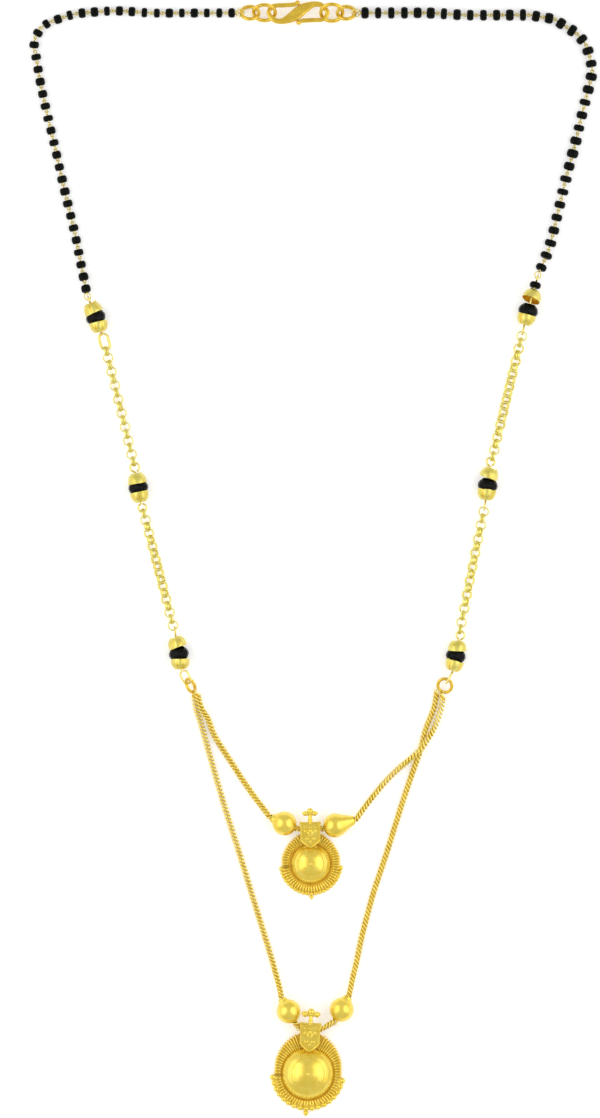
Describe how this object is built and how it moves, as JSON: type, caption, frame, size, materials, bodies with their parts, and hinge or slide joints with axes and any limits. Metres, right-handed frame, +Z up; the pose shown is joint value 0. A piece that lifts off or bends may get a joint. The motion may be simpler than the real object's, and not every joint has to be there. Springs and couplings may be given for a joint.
{
  "type": "mangalsutra necklace",
  "caption": "Closed bead and chain necklace laid out flat, with domed gold pendants, drilled gold balls, capped black beads and an S-hook clasp.",
  "frame": {"origin": "middle of the necklace's outline, on the surface that it lies on", "axes": "+Z up from the surface; +Y from the pendants towards the clasp; +X to the right as the necklace is looked down on with its clasp at the top"},
  "size_m": [0.1334, 0.2621, 0.0057],
  "materials": {
    "clasp_gold": "polished yellow gold",
    "wire_gold": "polished yellow gold wire",
    "chain_gold": "polished yellow gold",
    "fine_chain_gold": "polished yellow gold",
    "cap_gold": "pale satin gold",
    "ball_gold": "satin yellow gold",
    "pendant_gold": "satin yellow gold",
    "black_glass": "polished black, cut",
    "seed_beads": "polished black"
  },
  "bodies": {
    "root": {"clasp_hook": "clasp_gold", "clasp_ring_big_left": "clasp_gold", "clasp_ring_small_left": "clasp_gold", "bead_string_left": "seed_beads", "junction_ring_left": "clasp_gold", "rolo_chain_left_upper": "chain_gold", "rolo_chain_left_lower": "chain_gold", "black_bead_left_1": "black_glass", "cap_upper_left_1": "cap_gold", "cap_lower_left_1": "cap_gold", "eye_pin_left_1": "wire_gold", "black_bead_left_2": "black_glass", "cap_upper_left_2": "cap_gold", "cap_lower_left_2": "cap_gold", "eye_pin_left_2": "wire_gold", "black_bead_left_3": "black_glass", "cap_upper_left_3": "cap_gold", "cap_lower_left_3": "cap_gold", "eye_pin_left_3": "wire_gold", "ball_upper_left": "ball_gold", "ball_lower_left": "ball_gold", "clasp_ring_big_right": "clasp_gold", "clasp_ring_small_right": "clasp_gold", "bead_string_right": "seed_beads", "junction_ring_right": "clasp_gold", "rolo_chain_right_upper": "chain_gold", "rolo_chain_right_lower": "chain_gold", "black_bead_right_1": "black_glass", "cap_upper_right_1": "cap_gold", "cap_lower_right_1": "cap_gold", "eye_pin_right_1": "wire_gold", "black_bead_right_2": "black_glass", "cap_upper_right_2": "cap_gold", "cap_lower_right_2": "cap_gold", "eye_pin_right_2": "wire_gold", "black_bead_right_3": "black_glass", "cap_upper_right_3": "cap_gold", "cap_lower_right_3": "cap_gold", "eye_pin_right_3": "wire_gold", "ball_upper_right": "ball_gold", "ball_lower_right": "ball_gold", "inner_chain": "fine_chain_gold", "outer_chain": "fine_chain_gold", "upper_pendant": "pendant_gold", "lower_pendant": "pendant_gold"}
  },
  "joints": []
}
